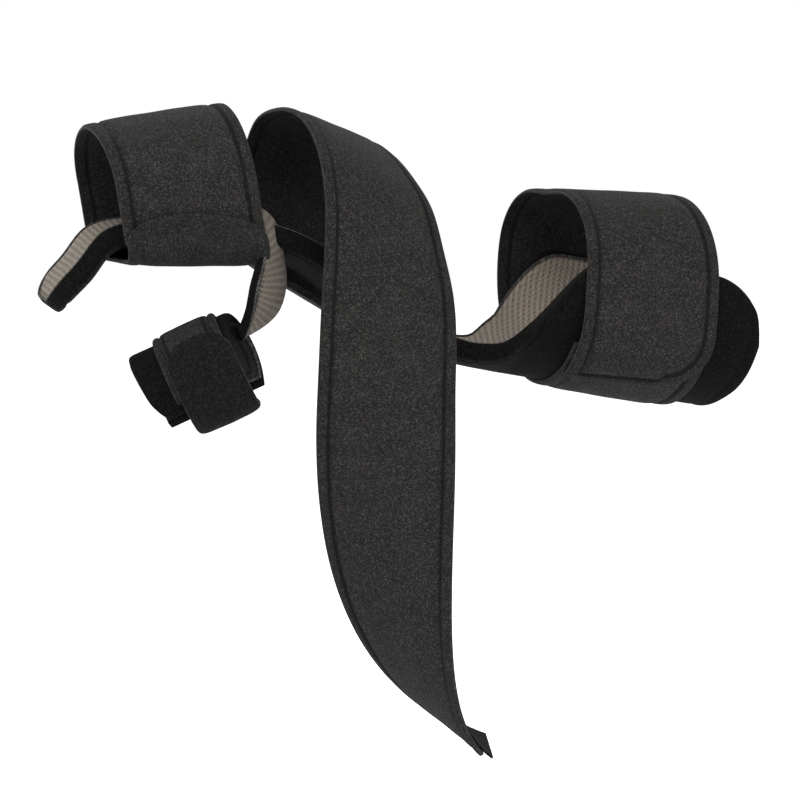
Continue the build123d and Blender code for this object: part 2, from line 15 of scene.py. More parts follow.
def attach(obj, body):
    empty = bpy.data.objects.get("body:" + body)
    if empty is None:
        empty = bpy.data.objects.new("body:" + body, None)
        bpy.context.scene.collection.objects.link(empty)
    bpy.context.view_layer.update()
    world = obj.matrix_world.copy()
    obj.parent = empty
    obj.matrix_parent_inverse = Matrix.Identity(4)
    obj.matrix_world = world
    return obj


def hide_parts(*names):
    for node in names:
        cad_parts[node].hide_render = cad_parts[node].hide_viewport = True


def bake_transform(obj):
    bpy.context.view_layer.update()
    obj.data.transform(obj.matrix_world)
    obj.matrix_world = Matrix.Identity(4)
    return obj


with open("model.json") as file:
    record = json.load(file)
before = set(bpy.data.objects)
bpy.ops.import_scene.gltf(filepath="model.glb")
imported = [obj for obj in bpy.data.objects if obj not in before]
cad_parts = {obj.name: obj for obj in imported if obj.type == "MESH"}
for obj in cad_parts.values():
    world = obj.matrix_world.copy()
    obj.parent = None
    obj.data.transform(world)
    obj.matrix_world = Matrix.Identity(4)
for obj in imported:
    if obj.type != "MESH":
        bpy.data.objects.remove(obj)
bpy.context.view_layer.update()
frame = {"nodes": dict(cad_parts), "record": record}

MM = 0.001
TAU = 2 * math.pi

# ---- Sizes shared with the solid model, in mm ---------------------------------------------------

DIP_DEGREES = 10.0
DIP = math.radians(DIP_DEGREES)
AXIS = np.array([math.cos(DIP), 0.0, -math.sin(DIP)])
RISE = np.array([math.sin(DIP), 0.0, math.cos(DIP)])
SIDE = np.array([0.0, 1.0, 0.0])
FOREARM_RADIUS = 36.0
LINING_DEPTH = 3.5
SHEET = 7.4
STRAP_WIDTH = 52.0
STRAP_THICK = 2.4
HOOK_THICK = 0.9
SLACK = 0.15  # between a cover and the strap round it
CLEAR = 0.35  # between a strap and the hook tab over it
GAP = 0.05  # between a hook tab and its own strap
STRAP_START = FOREARM_RADIUS + SHEET + SLACK
OVER_HOOK = STRAP_THICK + CLEAR + HOOK_THICK + GAP  # what a closing end lies over

TROUGH_START = -50.0
# The trough's rim in its own frame, as (along the forearm axis, over it):
# a rise from the wrist, then the elbow's curve.
RIM_RISE = [(-50.0, -21.0), (-44.0, -12.0), (-36.0, 7.5), (-24.0, 7.5)]
ELBOW_ARC = [(18.0, 7.5), (34.0, -0.5), (40.0, -20.0)]
# Where the trough ends at the elbow, against the angle from its floor.
END_ANGLE = [0.0, 15.0, 30.0, 45.0, 60.0]
END_U = [34.0, 36.0, 38.6, 39.8, 40.0]

# Stations of the hand section: x, z, slope in degrees, radius across, half width.
HAND_SPINE = [
    (-63.0, -25.4, 10.5, 62.0, 28.0),
    (-72.0, -23.6, 12.5, 95.0, 27.0),
    (-84.0, -20.1, 19.0, 110.0, 27.0),
    (-102.0, -10.5, 32.0, 110.0, 28.5),
    (-121.0, 2.5, 36.0, 110.0, 31.0),
    (-138.0, 14.6, 30.0, 120.0, 34.0),
    (-152.0, 21.0, 17.0, 130.0, 35.0),
    (-167.0, 23.8, 4.0, 140.0, 35.0),
    (-186.0, 24.2, 0.0, 140.0, 35.0),
    (-202.0, 24.0, -6.0, 140.0, 35.0),
    (-215.0, 21.2, -32.0, 140.0, 34.5),
    (-225.5, 9.2, -45.0, 140.0, 34.0),
    (-237.5, -3.0, -45.0, 140.0, 33.0),
]

WEB = np.array([-177.0, 0.0, 5.5])
THUMB_ROOT = np.array([-162.0, -42.0, -20.0])
THUMB_TIP = np.array([-199.9, -35.5, -37.7])
THUMB_RADIUS = 12.0
THIN_LINING = 3.1
THIN_SHEET = 5.15
THUMB_WRAP = THUMB_RADIUS + THIN_SHEET + SLACK

# The palm strap's middle points and width directions, and then its hanging tail as a Bezier curve.
PALM_PATH = [
    ((-137.3, 4.0, -0.4), (0.857, 0.00, -0.515)),
    ((-137.3, 26.0, -0.4), (0.857, 0.00, -0.515)),
    ((-136.5, 36.8, 1.0), (0.857, 0.00, -0.515)),
    ((-134.6, 43.5, 7.2), (0.860, 0.02, -0.500)),
    ((-132.5, 46.4, 20.5), (0.865, 0.08, -0.485)),
    ((-131.5, 44.5, 40.0), (0.860, 0.20, -0.460)),
    ((-129.5, 33.0, 56.5), (0.850, 0.38, -0.360)),
    ((-125.5, 14.0, 63.0), (0.840, 0.48, -0.270)),
    ((-121.0, -6.0, 60.0), (0.830, 0.44, -0.330)),
    ((-117.2, -23.0, 52.0), (0.840, 0.38, -0.370)),
    ((-114.4, -35.7, 41.1), (0.875, 0.27, -0.390)),
    ((-112.9, -44.6, 24.5), (0.900, 0.15, -0.400)),
    ((-112.5, -49.2, 7.0), (0.950, 0.05, -0.300)),
    ((-113.2, -51.0, -15.0), (0.993, 0.00, -0.115)),
    ((-114.0, -50.4, -42.0), (1.000, -0.09, -0.020)),
]
TAIL_LINE = [(-114.1, -50.3, -43.9), (-115.0, -50.0, -100.0), (-113.0, -43.0, -151.0), (-76.2, -35.0, -174.8)]
TAIL_TURN = (6.0, 96.0)  # how far its width is turned about Z, at the start and the end


# ---- Small helpers ------------------------------------------------------------------------------


def unit(v):
    v = np.asarray(v, float)
    return v / np.maximum(np.linalg.norm(v, axis=-1, keepdims=True), 1e-12)


def eased(x):
    x = np.clip(x, 0.0, 1.0)
    return x * x * (3 - 2 * x)


def smooth_table(keys, values, at):
    """Values between keys, on a cubic that passes through every key."""
    keys = np.asarray(keys, float)
    values = np.asarray(values, float)
    slopes = np.gradient(values, keys, axis=0)
    at = np.clip(np.asarray(at, float), keys[0], keys[-1])
    i = np.clip(np.searchsorted(keys, at, side="right") - 1, 0, len(keys) - 2)
    h = keys[i + 1] - keys[i]
    t = (at - keys[i]) / h
    if values.ndim > 1:
        t = t[..., None]
        h = h[..., None]
    a = (1 + 2 * t) * (1 - t) ** 2
    b = t * (1 - t) ** 2
    c = t * t * (3 - 2 * t)
    d = t * t * (t - 1)
    return a * values[i] + b * h * slopes[i] + c * values[i + 1] + d * h * slopes[i + 1]


def wobble(points, size, seed):
    """Smooth, repeatable noise from -1 to 1 for points in mm; size is its wavelength."""
    rng = np.random.default_rng(seed)
    total = np.zeros(points.shape[:-1])
    for _ in range(7):
        direction = unit(rng.normal(size=3))
        wave = TAU / (size * rng.uniform(0.7, 1.5))
        total += np.sin(points @ direction * wave + rng.uniform(0, TAU))
    return total / 4.0


# ---- Mesh making --------------------------------------------------------------------------------


def build(name, verts, faces, cloth, kinds, materials, sharp, rim):
    """A smooth-shaded mesh object from points in mm.

    cloth is each point's (across, along, depth) and rim its distance from the cut edge, both in mm.
    """
    mesh = bpy.data.meshes.new(name)
    mesh.from_pydata((np.asarray(verts) * MM).tolist(), [], faces)
    mesh.polygons.foreach_set("material_index", np.asarray(kinds, np.int32))
    mesh.polygons.foreach_set("use_smooth", np.ones(len(faces), bool))
    attribute = mesh.attributes.new("cloth", "FLOAT_VECTOR", "POINT")
    attribute.data.foreach_set("vector", np.asarray(cloth, np.float32).ravel())
    attribute = mesh.attributes.new("rim", "FLOAT", "POINT")
    attribute.data.foreach_set("value", np.asarray(rim, np.float32).ravel())
    for material in materials:
        mesh.materials.append(material)
    mesh.update()
    mesh.validate()
    mesh.set_sharp_from_angle(angle=math.radians(sharp))
    obj = bpy.data.objects.new(name, mesh)
    bpy.context.scene.collection.objects.link(obj)
    return obj


# A strap's section: place from the nearest rim against height of its outer face over its inner one.
RIM_STEPS = [0.0, 0.5, 1.6, 3.2, 4.6, 5.2, 5.8, 6.6, 8.2]
FACE_FROM = [0.0, 0.5, 2.2, 4.2, 5.2, 6.3, 9.0, 26.0]
FACE_HEIGHT = [1.25, 1.75, 2.05, 1.95, 1.35, 2.10, 2.45, 2.60]
FINE_FROM = [0.0, 0.4, 1.2, 2.1, 2.8, 3.6, 5.5, 26.0]
LEAST_HALF = 0.6  # half of the narrowest a rounded end gets
EDGE_BULGE = 0.22
SHORT_WAVE, LONG_WAVE = 17.0, 31.0  # wavelengths of the ripples in a strap


def rim_distance(x_end, v, half, corners):
    """Distance to a strap's outline, near an end whose corners are quarter ellipses."""
    distance = np.minimum(np.minimum(v + half, half - v), x_end)
    for sign, (wide, long) in zip((-1, 1), corners):
        qx = (long - x_end) / long
        qv = (sign * v - (half - wide)) / wide
        inside = (qx > 0) & (qv > 0)
        distance = np.where(inside, (1 - np.hypot(qx, qv)) * min(wide, long), distance)
    return np.maximum(distance, 0.0)


def strap(name, centre, across, out, width, materials, rounded=None, steps=RIM_STEPS,
          profile=(FACE_FROM, FACE_HEIGHT), seed=1, ripple=0.25):
    """A fabric strap along sampled middle points.

    across is the vector for one mm along the width, out the unit vector of the face that shows.
    rounded gives the last end's two corners as (reach across, reach along).
    """
    centre = np.asarray(centre, float)
    across = np.asarray(across, float)
    out = unit(out)
    run = np.concatenate([[0], np.cumsum(np.linalg.norm(np.diff(centre, axis=0), axis=1))])
    to_end = run[-1] - run
    half = width / 2
    rings, cloths, rims = [], [], []
    middle = np.linspace(-1, 1, 15)[1:-1]
    for i, point in enumerate(centre):
        limits = [half, half]
        for k, (wide, long) in enumerate(rounded or ()):
            if to_end[i] < long:
                limits[k] = half - wide + wide * math.sqrt(1 - (1 - to_end[i] / long) ** 2)
        left, right = (max(v, LEAST_HALF) for v in limits)
        margin = np.asarray(steps) * min(1.0, (left + right) / (2 * steps[-1] + 4))
        inner = (left + right) / 2 - margin[-1]
        mid = (right - left) / 2
        v = np.concatenate([-left + margin, mid + inner * middle, (right - margin)[::-1]])
        if rounded:
            edge = rim_distance(np.full_like(v, to_end[i]), v, half, rounded)
        else:
            edge = np.minimum(v + half, half - v)
        height = np.interp(edge, *profile)
        base = point + across[i] * v[:, None]
        height = height + ripple * wobble(base, SHORT_WAVE, seed) * np.clip(edge / 8, 0, 1) * 0.5
        inside = (0.2 + 0.8 * np.clip(edge / 5, 0, 1))[:, None]
        rise = out[i] * ripple * 0.6 * wobble(base, LONG_WAVE, seed + 1)[:, None] * inside
        low = base - out[i] * STRAP_THICK / 2 + rise * 0.3
        high = low + out[i] * height[:, None] + rise * 0.3
        bulge_left = (low[0] + high[0]) / 2 - across[i] * EDGE_BULGE
        bulge_right = (low[-1] + high[-1]) / 2 + across[i] * EDGE_BULGE
        ring = np.concatenate([high, [bulge_right], low[::-1], [bulge_left]])
        flat = np.stack([v, np.full_like(v, run[i]), np.zeros_like(v)], -1)
        side = [[v[-1] + 1, run[i], 0]]
        other = [[v[0] - 1, run[i], 0]]
        rings.append(ring)
        cloths.append(np.concatenate([flat, side, flat[::-1] + [0, 0, 3], other]))
        rims.append(np.concatenate([edge, [0], edge[::-1], [0]]))
    rims = np.roll(np.asarray(rims), 1, axis=1)
    rings = np.roll(np.asarray(rings), 1, axis=1)
    cloths = np.roll(np.asarray(cloths), 1, axis=1)
    n = len(v)
    kinds = [1] + [0] * (n - 1) + [1, 1] + [2] * (n - 1) + [1]
    obj = shell_strap(name, rings, cloths, rims, kinds, materials, n)
    return obj, run[-1]


def shell_strap(name, rings, cloths, rims, kinds, materials, n):
    """Skins a strap's sections and closes its cut ends with a strip of edge faces."""
    count, size = rings.shape[:2]
    faces, tags = [], []
    for i in range(count - 1):
        for k in range(size):
            m = (k + 1) % size
            faces.append((i * size + k, (i + 1) * size + k, (i + 1) * size + m, i * size + m))
            tags.append(kinds[k])
    for end in (0, count - 1):
        base = end * size
        # Point 0 is one side's bulge, 1 to n the shown face, n + 1 the other bulge, then the back.
        strip = [(base, base + 1, base + size - 1)]
        for k in range(1, n):
            strip.append((base + k, base + k + 1, base + size - 1 - k, base + size - k))
        strip.append((base + n, base + n + 1, base + n + 2))
        for face in strip:
            faces.append(tuple(reversed(face)) if end else face)
            tags.append(1)
    return build(name, rings.reshape(-1, 3), faces, cloths.reshape(-1, 3), tags, materials, 40.0, rims)


# ---- Materials ----------------------------------------------------------------------------------


class Paint:
    """A node material, with short calls for the nodes that these fabrics share."""

    def __init__(self, name, rough, sheen=0.0, sheen_tint=(1, 1, 1, 1), spec=0.3, metal=0.0):
        self.material = bpy.data.materials.new(name)
        self.material.use_nodes = True
        self.tree = self.material.node_tree
        self.shader = self.tree.nodes["Principled BSDF"]
        for key, value in (
            ("Roughness", rough), ("Sheen Weight", sheen), ("Sheen Roughness", 0.5),
            ("Sheen Tint", sheen_tint), ("Specular IOR Level", spec), ("Metallic", metal),
        ):
            self.shader.inputs[key].default_value = value
        attribute = self.tree.nodes.new("ShaderNodeAttribute")
        attribute.attribute_name = "cloth"
        self.flat = attribute.outputs["Vector"]
        # Turned, so that noise shows no rows along the cloth.
        turned = self.node("ShaderNodeMapping", {"Vector": self.flat, "Rotation": (0.6, 0.4, 0.5)})
        self.cloth = turned.outputs[0]
        attribute = self.tree.nodes.new("ShaderNodeAttribute")
        attribute.attribute_name = "rim"
        self.rim = attribute.outputs["Fac"]

    def node(self, kind, links=None, **settings):
        made = self.tree.nodes.new(kind)
        for key, value in settings.items():
            setattr(made, key, value)
        for key, value in (links or {}).items():
            if isinstance(value, bpy.types.NodeSocket):
                self.tree.links.new(value, made.inputs[key])
            else:
                made.inputs[key].default_value = value
        return made

    def noise(self, vector, size, detail=2.0, rough=0.55, stretch=(1, 1, 1)):
        per_size = tuple(s / size for s in stretch)
        scaled = self.node("ShaderNodeVectorMath", {0: vector, 1: per_size}, operation="MULTIPLY")
        made = self.node("ShaderNodeTexNoise", {
            "Vector": scaled.outputs[0], "Scale": 1.0, "Detail": detail, "Roughness": rough,
        })
        return made.outputs["Fac"]

    def cells(self, vector, size):
        scaled = self.node("ShaderNodeVectorMath", {0: vector, 1: (1 / size,) * 3}, operation="MULTIPLY")
        made = self.node("ShaderNodeTexVoronoi", {"Vector": scaled.outputs[0], "Scale": 1.0})
        return made.outputs["Distance"]

    def ramp(self, value, low, high, to_low=0.0, to_high=1.0):
        made = self.node("ShaderNodeMapRange", {
            "Value": value, "From Min": low, "From Max": high, "To Min": to_low, "To Max": to_high,
        }, interpolation_type="SMOOTHSTEP")
        return made.outputs["Result"]

    def math(self, operation, a, b=0.0):
        return self.node("ShaderNodeMath", {0: a, 1: b}, operation=operation).outputs[0]

    def mix(self, factor, a, b):
        made = self.node("ShaderNodeMix", data_type="RGBA")
        for key, value in ((0, factor), (6, a), (7, b)):
            if isinstance(value, bpy.types.NodeSocket):
                self.tree.links.new(value, made.inputs[key])
            else:
                made.inputs[key].default_value = value
        return made.outputs[2]

    def finish(self, colour, height, strength, distance, rough=None):
        self.tree.links.new(colour, self.shader.inputs["Base Color"])
        bump = self.node("ShaderNodeBump", {"Height": height, "Strength": strength, "Distance": distance})
        self.tree.links.new(bump.outputs["Normal"], self.shader.inputs["Normal"])
        if rough is not None:
            self.tree.links.new(rough, self.shader.inputs["Roughness"])
        return self.material


def grey(level, warm=0.0):
    return (level * (1 + warm), level, level * (1 - warm), 1.0)


def strap_fabric(name, base, speck, warm=0.0, seam=0.85):
    """Napped loop laminate: charcoal with fine lighter fibres, with painted shade darkening the seam groove
    near each rim.
    """
    p = Paint(name, rough=0.95, sheen=0.02, sheen_tint=grey(0.5), spec=0.04)
    coarse = p.noise(p.cloth, 1.3, 2.0, 0.6)
    fine = p.noise(p.cloth, 0.5, 3.0, 0.8)
    patch = p.noise(p.cloth, 9.0, 2.0)
    specks = p.math("MULTIPLY", p.ramp(fine, 0.44, 0.68), p.ramp(coarse, 0.35, 0.65, 0.35, 1.0))
    tone = p.mix(p.ramp(patch, 0.3, 0.7), grey(base * 0.85, warm), grey(base * 1.15, warm))
    colour = p.mix(specks, tone, grey(speck, warm))
    # Painted shade: a darker band in the seam groove, about 3 to 6 mm in from each rim, as strong as seam.
    groove_shade = p.math("MULTIPLY", p.ramp(p.rim, 4.4, 5.6, seam, 0.0), p.ramp(p.rim, 3.2, 4.2, 0.15, 1.0))
    colour = p.mix(groove_shade, colour, grey(base * 0.5, warm))
    height = p.math("ADD", p.math("MULTIPLY", fine, 0.8), p.math("MULTIPLY", coarse, 0.5))
    return p.finish(colour, height, 0.8, 0.0007)


def fleece(name, base, speck, size=0.9):
    """Deep coarse fleece, nearly black with brown-grey tips."""
    warm = 0.03
    p = Paint(name, rough=1.0, sheen=0.015, sheen_tint=grey(0.5), spec=0.03)
    coarse = p.noise(p.cloth, size, 3.0, 0.65)
    curl = p.cells(p.cloth, size * 0.8)
    fine = p.noise(p.cloth, 0.35, 2.0, 0.6)
    colour = p.mix(p.ramp(coarse, 0.42, 0.7), grey(base * 0.6, warm), grey(base * 1.5, warm))
    colour = p.mix(p.math("MULTIPLY", p.ramp(fine, 0.6, 0.78), 0.55), colour, grey(speck, warm))
    height = p.math("ADD", coarse, p.math("MULTIPLY", curl, 0.45))
    return p.finish(colour, height, 0.9, 0.0009)


def knit(name, base):
    """Grey waffle knit: ribs across the lining and small pits between them."""
    p = Paint(name, rough=0.95, sheen=0.05, sheen_tint=grey(0.8), spec=0.08)
    row_pitch, column_pitch, warm = 2.3, 1.9, 0.16
    parts = p.node("ShaderNodeSeparateXYZ", {0: p.flat})
    drift = p.math("MULTIPLY", p.noise(p.cloth, 7.0), 0.8)
    row = p.math("SINE", p.math("MULTIPLY", p.math("ADD", parts.outputs["Y"], drift), TAU / row_pitch))
    column = p.math("SINE", p.math("MULTIPLY", p.math("ADD", parts.outputs["X"], drift), TAU / column_pitch))
    rows = p.ramp(row, -1.0, 0.9)
    pits = p.ramp(p.math("MULTIPLY", column, row), -0.9, 0.9)
    fine = p.noise(p.cloth, 0.5, 3.0, 0.65)
    weave = p.math("ADD", p.math("MULTIPLY", rows, 0.62), p.math("MULTIPLY", pits, 0.38))
    stain = p.noise(p.cloth, 14.0, 2.0)
    colour = p.mix(weave, grey(base * 0.42, warm), grey(base * 1.12, warm))
    colour = p.mix(p.ramp(fine, 0.35, 0.75, 0.0, 0.45), colour, grey(base * 1.5, warm))
    colour = p.mix(p.ramp(stain, 0.35, 0.7, 0.0, 0.25), colour, grey(base * 0.6, 0.14))
    height = p.math("ADD", weave, p.math("MULTIPLY", fine, 0.3))
    return p.finish(colour, height, 0.8, 0.0007)


def cut_edge(name, dark, light):
    """A cut laminate edge: foam with light fibre ends."""
    p = Paint(name, rough=0.95, sheen=0.03, spec=0.06)
    fray = p.noise(p.cloth, 0.6, 3.0, 0.7)
    long = p.noise(p.cloth, 6.0, 2.0)
    mask = p.math("MULTIPLY", p.ramp(fray, 0.42, 0.66), p.ramp(long, 0.25, 0.6, 0.35, 1.0))
    return p.finish(p.mix(mask, grey(dark, 0.04), grey(light, 0.06)), fray, 0.6, 0.0004)


def hook_tape(name):
    """Moulded hook tape: rows of tiny stubs on a dark backing."""
    p = Paint(name, rough=0.8, spec=0.02)
    place = p.node("ShaderNodeTexCoord").outputs["Object"]
    dots = p.cells(place, 0.0009)
    stubs = p.ramp(dots, 0.15, 0.5)
    shade = p.mix(stubs, grey(0.012), grey(0.004))
    return p.finish(shade, dots, 0.7, 0.0003)


def metal_sheet(name):
    """Mill-finish aluminium with a fine rolled grain."""
    p = Paint(name, rough=0.38, metal=1.0)
    place = p.node("ShaderNodeTexCoord").outputs["Object"]
    grain = p.noise(place, 0.0006, 2.0, 0.6, (0.1, 1.0, 1.0))
    colour = p.mix(grain, grey(0.52), grey(0.66))
    return p.finish(colour, grain, 0.15, 0.0001, p.ramp(grain, 0.3, 0.7, 0.32, 0.5))


STRAP = strap_fabric("strap_loop", 0.0083, 0.060, 0.04)
STRAP_BACK = strap_fabric("strap_back", 0.0075, 0.045, 0.04)
STRAP_EDGE = cut_edge("strap_cut_edge", 0.008, 0.055)
COVER = fleece("cover_fleece", 0.0045, 0.018)
TAB = fleece("tab_fleece", 0.0080, 0.045, 1.1)
COVER_EDGE = cut_edge("cover_cut_edge", 0.015, 0.09)
LINING = knit("lining_knit", 0.150)
# The web's lining is the same knit as the lining, with a darker base for painted shade at the web.
WEB_LINING_SHADED = knit("web_knit_shaded", 0.095)
# The thumb trough's grey lining is drawn in dark strap fabric: painted shade inside the trough.
THUMB_LINING_SHADED = strap_fabric("thumb_lining", 0.018, 0.05)
HOOK = hook_tape("hook_tape")
METAL = metal_sheet("frame_metal")

FABRIC = [STRAP, STRAP_EDGE, STRAP_BACK]
TONGUE_FABRIC = [strap_fabric("tongue_loop", 0.0075, 0.045, seam=0.0), STRAP_EDGE, STRAP_BACK]


# ---- Padded sheet: trough, palm and finger pan --------------------------------------------------


def curve_points(controls, count):
    """A cubic Bezier curve's points."""
    t = np.linspace(0, 1, count)[:, None]
    a, b, c, d = (np.array(p) for p in controls)
    return (1 - t) ** 3 * a + 3 * t * (1 - t) ** 2 * b + 3 * t * t * (1 - t) * c + t ** 3 * d


def arc_points(ends, count):
    """Points of the circle arc through three points."""
    (ax, ay), (bx, by), (cx, cy) = ends
    d = 2 * (ax * (by - cy) + bx * (cy - ay) + cx * (ay - by))
    squares = [x * x + y * y for x, y in ends]
    x = (squares[0] * (by - cy) + squares[1] * (cy - ay) + squares[2] * (ay - by)) / d
    y = (squares[0] * (cx - bx) + squares[1] * (ax - cx) + squares[2] * (bx - ax)) / d
    first, last = math.atan2(ay - y, ax - x), math.atan2(cy - y, cx - x)
    radius = math.hypot(ax - x, ay - y)
    turn = np.linspace(first, last, count)
    return np.stack([x + radius * np.cos(turn), y + radius * np.sin(turn)], -1)


RIM = np.concatenate([curve_points(RIM_RISE, 30), arc_points(ELBOW_ARC, 30)])
TROUGH_STATIONS = 26


def spine_tables():
    """Stations of the whole sheet from elbow to fingertips, keyed by length along the skin side."""
    rows = []
    for u in np.linspace(ELBOW_ARC[-1][0], TROUGH_START, TROUGH_STATIONS):
        point = AXIS * u - RISE * FOREARM_RADIUS
        rim = float(np.interp(u, RIM[:, 0], RIM[:, 1]))
        spread = math.degrees(math.acos(-rim / FOREARM_RADIUS))
        rows.append((point[0], point[2], DIP_DEGREES, FOREARM_RADIUS, spread))
    for x, z, climb, radius, half in HAND_SPINE:
        rows.append((x, z, climb, radius, math.degrees(math.asin(half / radius))))
    rows = np.array(rows)
    length = np.concatenate([[0], np.cumsum(np.hypot(np.diff(rows[:, 0]), np.diff(rows[:, 1])))])
    return length, rows


SPINE_S, SPINE = spine_tables()
TIP_S = SPINE_S[-1]
TIP_HALF = 33.0
TIP_CORNER = 15.0

# Steps inward from a padded piece's rim, where its edge is shaped.
RIM_MM = np.array([0.0, 0.3, 0.7, 1.1, 1.35, 1.6, 2.2, 3.2, 4.2, 4.8, 5.4, 6.2])


def spread_over(length, inset, middle):
    """Places from 0 to length, fine near both ends and even between."""
    near = inset + RIM_MM
    inner = np.linspace(near[-1], length - near[-1], middle)[1:-1]
    return np.concatenate([near, inner, (length - near)[::-1]])


def sheet_point(s, a, depth):
    """Points of the sheet; s along it in mm, a from -1 at the near rim to 1, depth into it."""
    x, z, climb, radius, spread = np.moveaxis(smooth_table(SPINE_S, SPINE, s), -1, 0)
    turn = np.radians(climb)
    up = np.stack([np.sin(turn), np.zeros_like(turn), np.cos(turn)], -1)
    angle = np.radians(spread) * a
    bottom = np.stack([x, np.zeros_like(x), z], -1)
    centre = bottom + up * radius[..., None]
    reach = (radius + depth)[..., None]
    normal = -up * np.cos(angle)[..., None] + SIDE * np.sin(angle)[..., None]
    return centre + normal * reach


def sheet_ends(a):
    """Where the sheet starts and ends along s, for each a."""
    width = np.abs(a)
    end_u = smooth_table(END_ANGLE, END_U, END_ANGLE[-1] * width)
    start = ELBOW_ARC[-1][0] - end_u
    y = TIP_HALF * width
    beyond = np.clip(y - (TIP_HALF - TIP_CORNER), 0, TIP_CORNER)
    drop = TIP_CORNER - np.sqrt(TIP_CORNER ** 2 - beyond ** 2)
    return start, TIP_S - drop


SHEET_MIDDLE = (120, 32)  # places along and across the sheet, between its fine rims


def sheet_grid(inset):
    """The sheet's (s, a) grid, each point's distance from the rim and its cloth coordinates."""
    along = spread_over(TIP_S, inset, SHEET_MIDDLE[0])
    half = np.interp(along, SPINE_S, SPINE[:, 3] * np.radians(SPINE[:, 4]))[:, None]
    across = np.array([spread_over(2 * h, inset, SHEET_MIDDLE[1]) for h in half[:, 0]])
    a = across / half - 1
    start, end = sheet_ends(a)
    s = start + (end - start) * along[:, None] / TIP_S
    edge = np.minimum(np.minimum(across, 2 * half - across), np.minimum(s - start, end - s))
    cloth = np.stack([across - half, s, np.zeros_like(s)], -1)
    return s, a, edge, cloth


def thumb_web_edges(long, wide, inset, middle):
    """Places along and across a small padded piece, and distances from its rim."""
    along = spread_over(long, inset, middle[0])[:, None]
    across = spread_over(wide, inset, middle[1])[None, :]
    edge = np.minimum(np.minimum(along, long - along), np.minimum(across, wide - across))
    return along + 0 * across, across + 0 * along, edge


LIP = 1.25  # width of the cover's edge that shows round the lining
LINING_SOFT = 2.6  # how far in from its rim the lining is rounded off, and the cover
COVER_SOFT = 2.4
SEAM_AT, SEAM_WIDE = 4.8, 0.8
LINING_LUMP, COVER_LUMP = (0.22, 21.0), (0.35, 26.0)  # height and wavelength


def lining_depths(edge, thick, rim):
    """A cushion: top and bottom depths at a distance from the rim."""
    soft = eased((edge - rim) / LINING_SOFT)
    return 0.9 * (1 - soft), thick - 0.3 * (1 - soft)


def cover_depths(edge, thick, whole, seam):
    """The outer cover: under the lining, and folded up round its edge to a thin lip."""
    lip = 0.1 + 0.5 * (1 - eased(edge / 0.7))
    inner = np.where(edge > 1.2, thick + 0.05, lip)
    curve = np.sqrt(np.clip(1 - (1 - np.clip(edge / COVER_SOFT, 0, 1)) ** 2, 0, 1))
    groove = seam * np.exp(-((edge - SEAM_AT) / SEAM_WIDE) ** 2)
    return inner, whole - 1.5 * (1 - curve) * min(whole / SHEET, 1) - groove


def padded_pair(name, grid, place, thick, whole, seam, replaced, seed, lining_paint):
    """A lining cushion and the cover that holds it, over the same surface."""
    edge, spot, cloth = grid(LIP)
    top, bottom = lining_depths(edge, thick, LIP)
    high, wave = LINING_LUMP
    lump = high * wobble(place(spot, 0 * top), wave, seed) * eased((edge - LIP) / 6)
    top = place(spot, top + np.clip(lump, -0.3, 0.3))
    lining = skin_grids(name[0], top, place(spot, bottom), cloth, edge, [lining_paint])
    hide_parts(*replaced[0])
    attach(lining, "splint")
    edge, spot, cloth = grid(0.0)
    top, bottom = cover_depths(edge, thick, whole, seam)
    high, wave = COVER_LUMP
    lump = high * wobble(place(spot, 0 * top), wave, seed + 1) * eased((edge - 2) / 8)
    top, bottom = place(spot, top), place(spot, bottom + np.clip(lump, -0.45, 0.0))
    cover = skin_grids(name[1], top, bottom, cloth, edge, [COVER, COVER_EDGE], LIP - 0.1)
    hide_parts(*replaced[1])
    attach(cover, "splint")


def skin_grids(name, top, bottom, cloth, edge, materials, lip=0.0):
    """A closed solid between two grids of the same shape, with one ring round its rim.

    Faces of the top grid nearer the rim than lip get the second material.
    """
    rows, columns = top.shape[:2]
    count = rows * columns
    flat_edge = edge.ravel()
    faces, tags = [], []
    for i in range(rows - 1):
        for j in range(columns - 1):
            a = i * columns + j
            corners = [a, a + 1, a + columns + 1, a + columns]
            faces.append(tuple(corners))
            tags.append(1 if min(flat_edge[corners]) < lip else 0)
            faces.append(tuple(count + corner for corner in reversed(corners)))
            tags.append(0)
    border = list(range(columns))
    border += [i * columns + columns - 1 for i in range(1, rows)]
    border += [(rows - 1) * columns + j for j in range(columns - 2, -1, -1)]
    border += [i * columns for i in range(rows - 2, 0, -1)]
    flat_top = top.reshape(-1, 3)
    flat_bottom = bottom.reshape(-1, 3)
    middle = (flat_top[border] + flat_bottom[border]) / 2
    inner = []
    for index in border:
        i, j = divmod(index, columns)
        i, j = min(max(i, 3), rows - 4), min(max(j, 3), columns - 4)
        inner.append((top[i, j] + bottom[i, j]) / 2)
    outward = unit(middle - np.array(inner))
    thick = np.linalg.norm(flat_top[border] - flat_bottom[border], axis=1)
    middle = middle + outward * np.minimum(thick * 0.12, 0.45)[:, None]
    verts = np.concatenate([flat_top, flat_bottom, middle])
    base = 2 * count
    n = len(border)
    for k in range(n):
        m = (k + 1) % n
        faces.append((border[m], border[k], base + k, base + m))
        faces.append((base + m, base + k, count + border[k], count + border[m]))
        tags += [0, 0]
    flat_cloth = cloth.reshape(-1, 3)
    cloths = np.concatenate([flat_cloth, flat_cloth + [0, 0, 5], flat_cloth[border] + [0, 0, 2.5]])
    rims = np.concatenate([flat_edge, flat_edge, flat_edge[border]])
    return build(name, verts, faces, cloths, tags, materials, 50.0, rims)


SHEET_SEAM = 0.45  # depth of the seam beside the cover's rim


